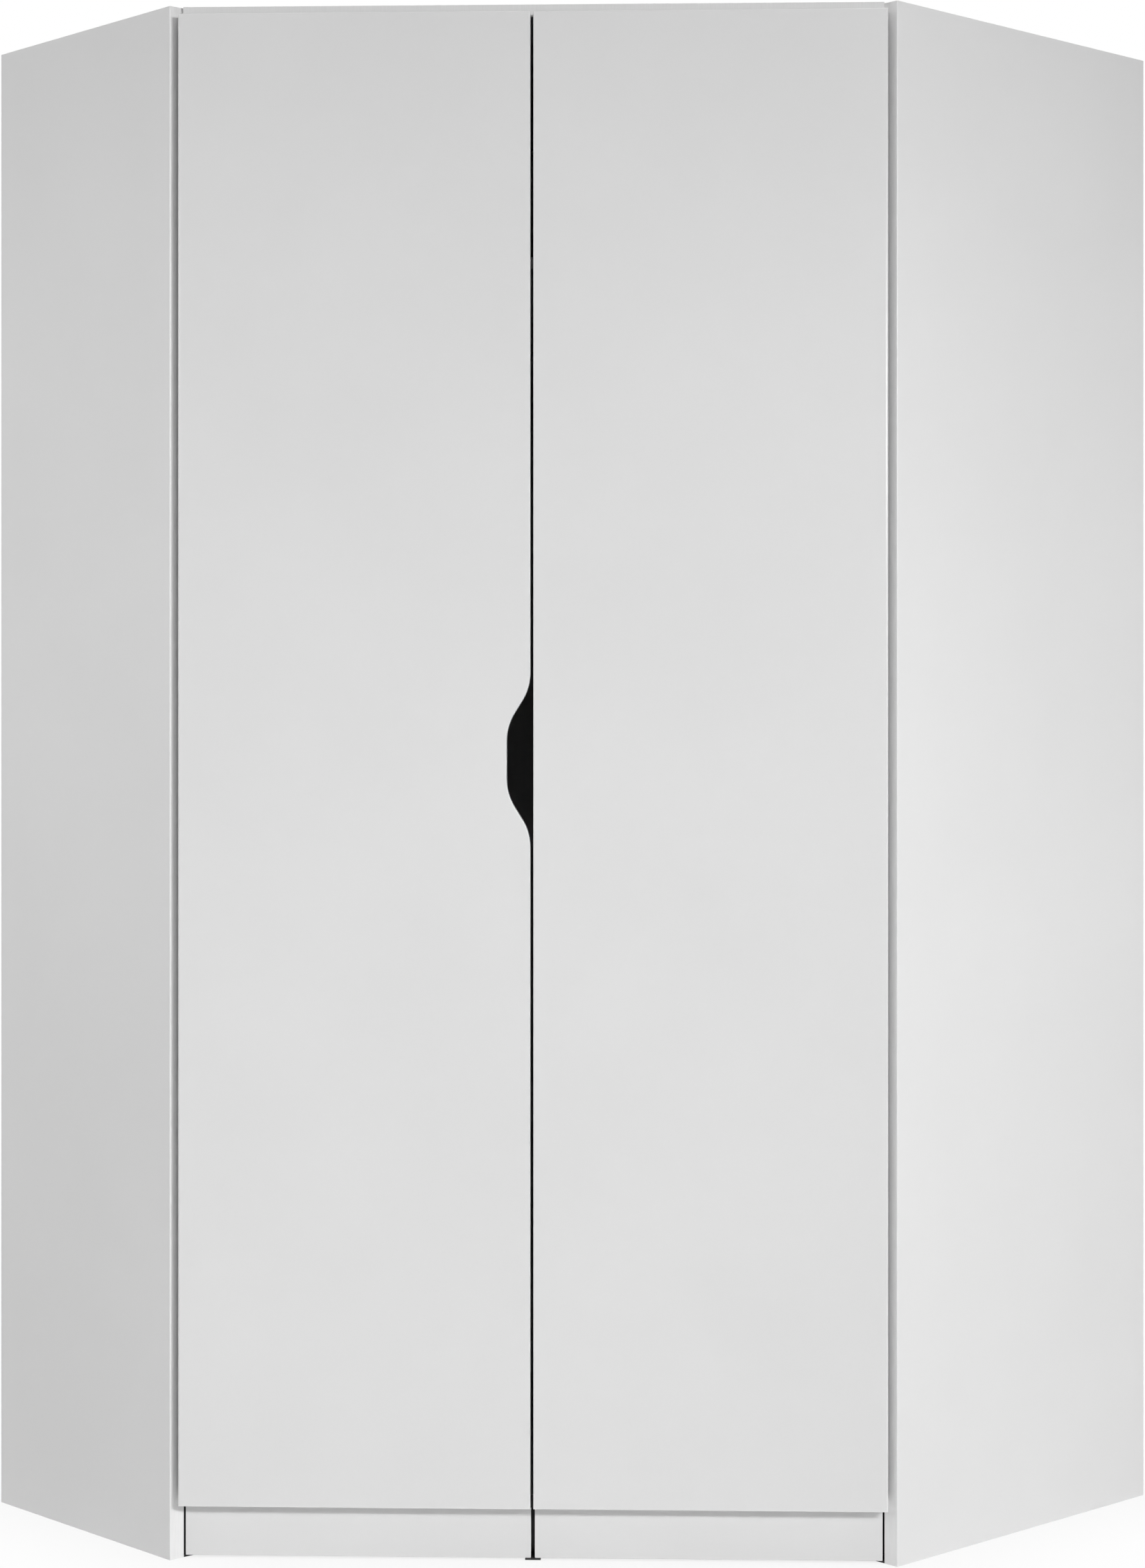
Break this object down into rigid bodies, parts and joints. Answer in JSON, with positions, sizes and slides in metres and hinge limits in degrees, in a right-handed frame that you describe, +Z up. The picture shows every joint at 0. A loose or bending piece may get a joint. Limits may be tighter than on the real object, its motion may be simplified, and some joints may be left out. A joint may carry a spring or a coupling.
{
  "type": "corner wardrobe",
  "caption": "Corner wardrobe that faces out of a room corner, with hinged flush doors, a finger cut-out, a hat shelf and a clothes rail.",
  "frame": {"origin": "middle of the footprint on the floor, with the doors closed", "axes": "+Z up, -Y out through the doors into the room, +X to the right seen from the front; the walls run at 45 degrees to X and Y"},
  "size_m": [1.575, 1.126, 1.99],
  "materials": {
    "melamine_white": "matt white melamine facing on chipboard",
    "melamine_inside": "matt white melamine facing on chipboard, inner boards",
    "hardboard": "lacquered white hardboard",
    "steel": "nickel-plated pressed steel",
    "chrome": "chrome-plated tube",
    "plastic_white": "white moulded plastic",
    "plastic_black": "black moulded plastic",
    "rubber": "soft translucent buffer rubber"
  },
  "bodies": {
    "carcass": {"side_panel_left": "melamine_white", "side_panel_right": "melamine_white", "top_panel": "melamine_white", "bottom_panel": "melamine_white", "hat_shelf": "melamine_inside", "corner_post_left": "melamine_inside", "corner_post_right": "melamine_inside", "back_sheet_left_outer": "hardboard", "back_sheet_left_inner": "hardboard", "back_sheet_right_outer": "hardboard", "back_sheet_right_inner": "hardboard", "back_profile_left": "plastic_white", "back_profile_right": "plastic_white", "wall_angle_left": "steel", "wall_angle_right": "steel", "plinth_left": "melamine_white", "plinth_right": "melamine_white", "plinth_bracket_left": "steel", "plinth_bracket_right": "steel", "plinth_joiner": "plastic_black", "centre_foot": "plastic_black", "shelf_support_left_front": "plastic_white", "shelf_support_left_rear": "plastic_white", "shelf_support_left_post": "plastic_white", "shelf_support_right_front": "plastic_white", "shelf_support_right_rear": "plastic_white", "shelf_support_right_post": "plastic_white", "rail_hanger_left": "steel", "rail_hanger_right": "steel", "clothes_rail": "chrome", "door_buffer_left": "rubber", "door_buffer_right": "rubber", "hinge_left_1_arm": "steel", "hinge_left_1_plate": "steel", "hinge_left_2_arm": "steel", "hinge_left_2_plate": "steel", "hinge_left_3_arm": "steel", "hinge_left_3_plate": "steel", "hinge_left_4_arm": "steel", "hinge_left_4_plate": "steel", "hinge_right_1_arm": "steel", "hinge_right_1_plate": "steel", "hinge_right_2_arm": "steel", "hinge_right_2_plate": "steel", "hinge_right_3_arm": "steel", "hinge_right_3_plate": "steel", "hinge_right_4_arm": "steel", "hinge_right_4_plate": "steel"},
    "left_door": {"door_left": "melamine_white", "hinge_left_1_cup": "steel", "hinge_left_2_cup": "steel", "hinge_left_3_cup": "steel", "hinge_left_4_cup": "steel"},
    "right_door": {"door_right": "melamine_white", "hinge_right_1_cup": "steel", "hinge_right_2_cup": "steel", "hinge_right_3_cup": "steel", "hinge_right_4_cup": "steel"}
  },
  "joints": [
    {"name": "left_door_hinge", "type": "hinge", "parent": "carcass", "child": "left_door", "pos_m": [-0.48514, -0.555, 1.025], "axis": [0, 0, -1], "range_deg": [0, 105]},
    {"name": "right_door_hinge", "type": "hinge", "parent": "carcass", "child": "right_door", "pos_m": [0.39675, -0.555, 1.025], "axis": [0, 0, 1], "range_deg": [0, 105]}
  ]
}
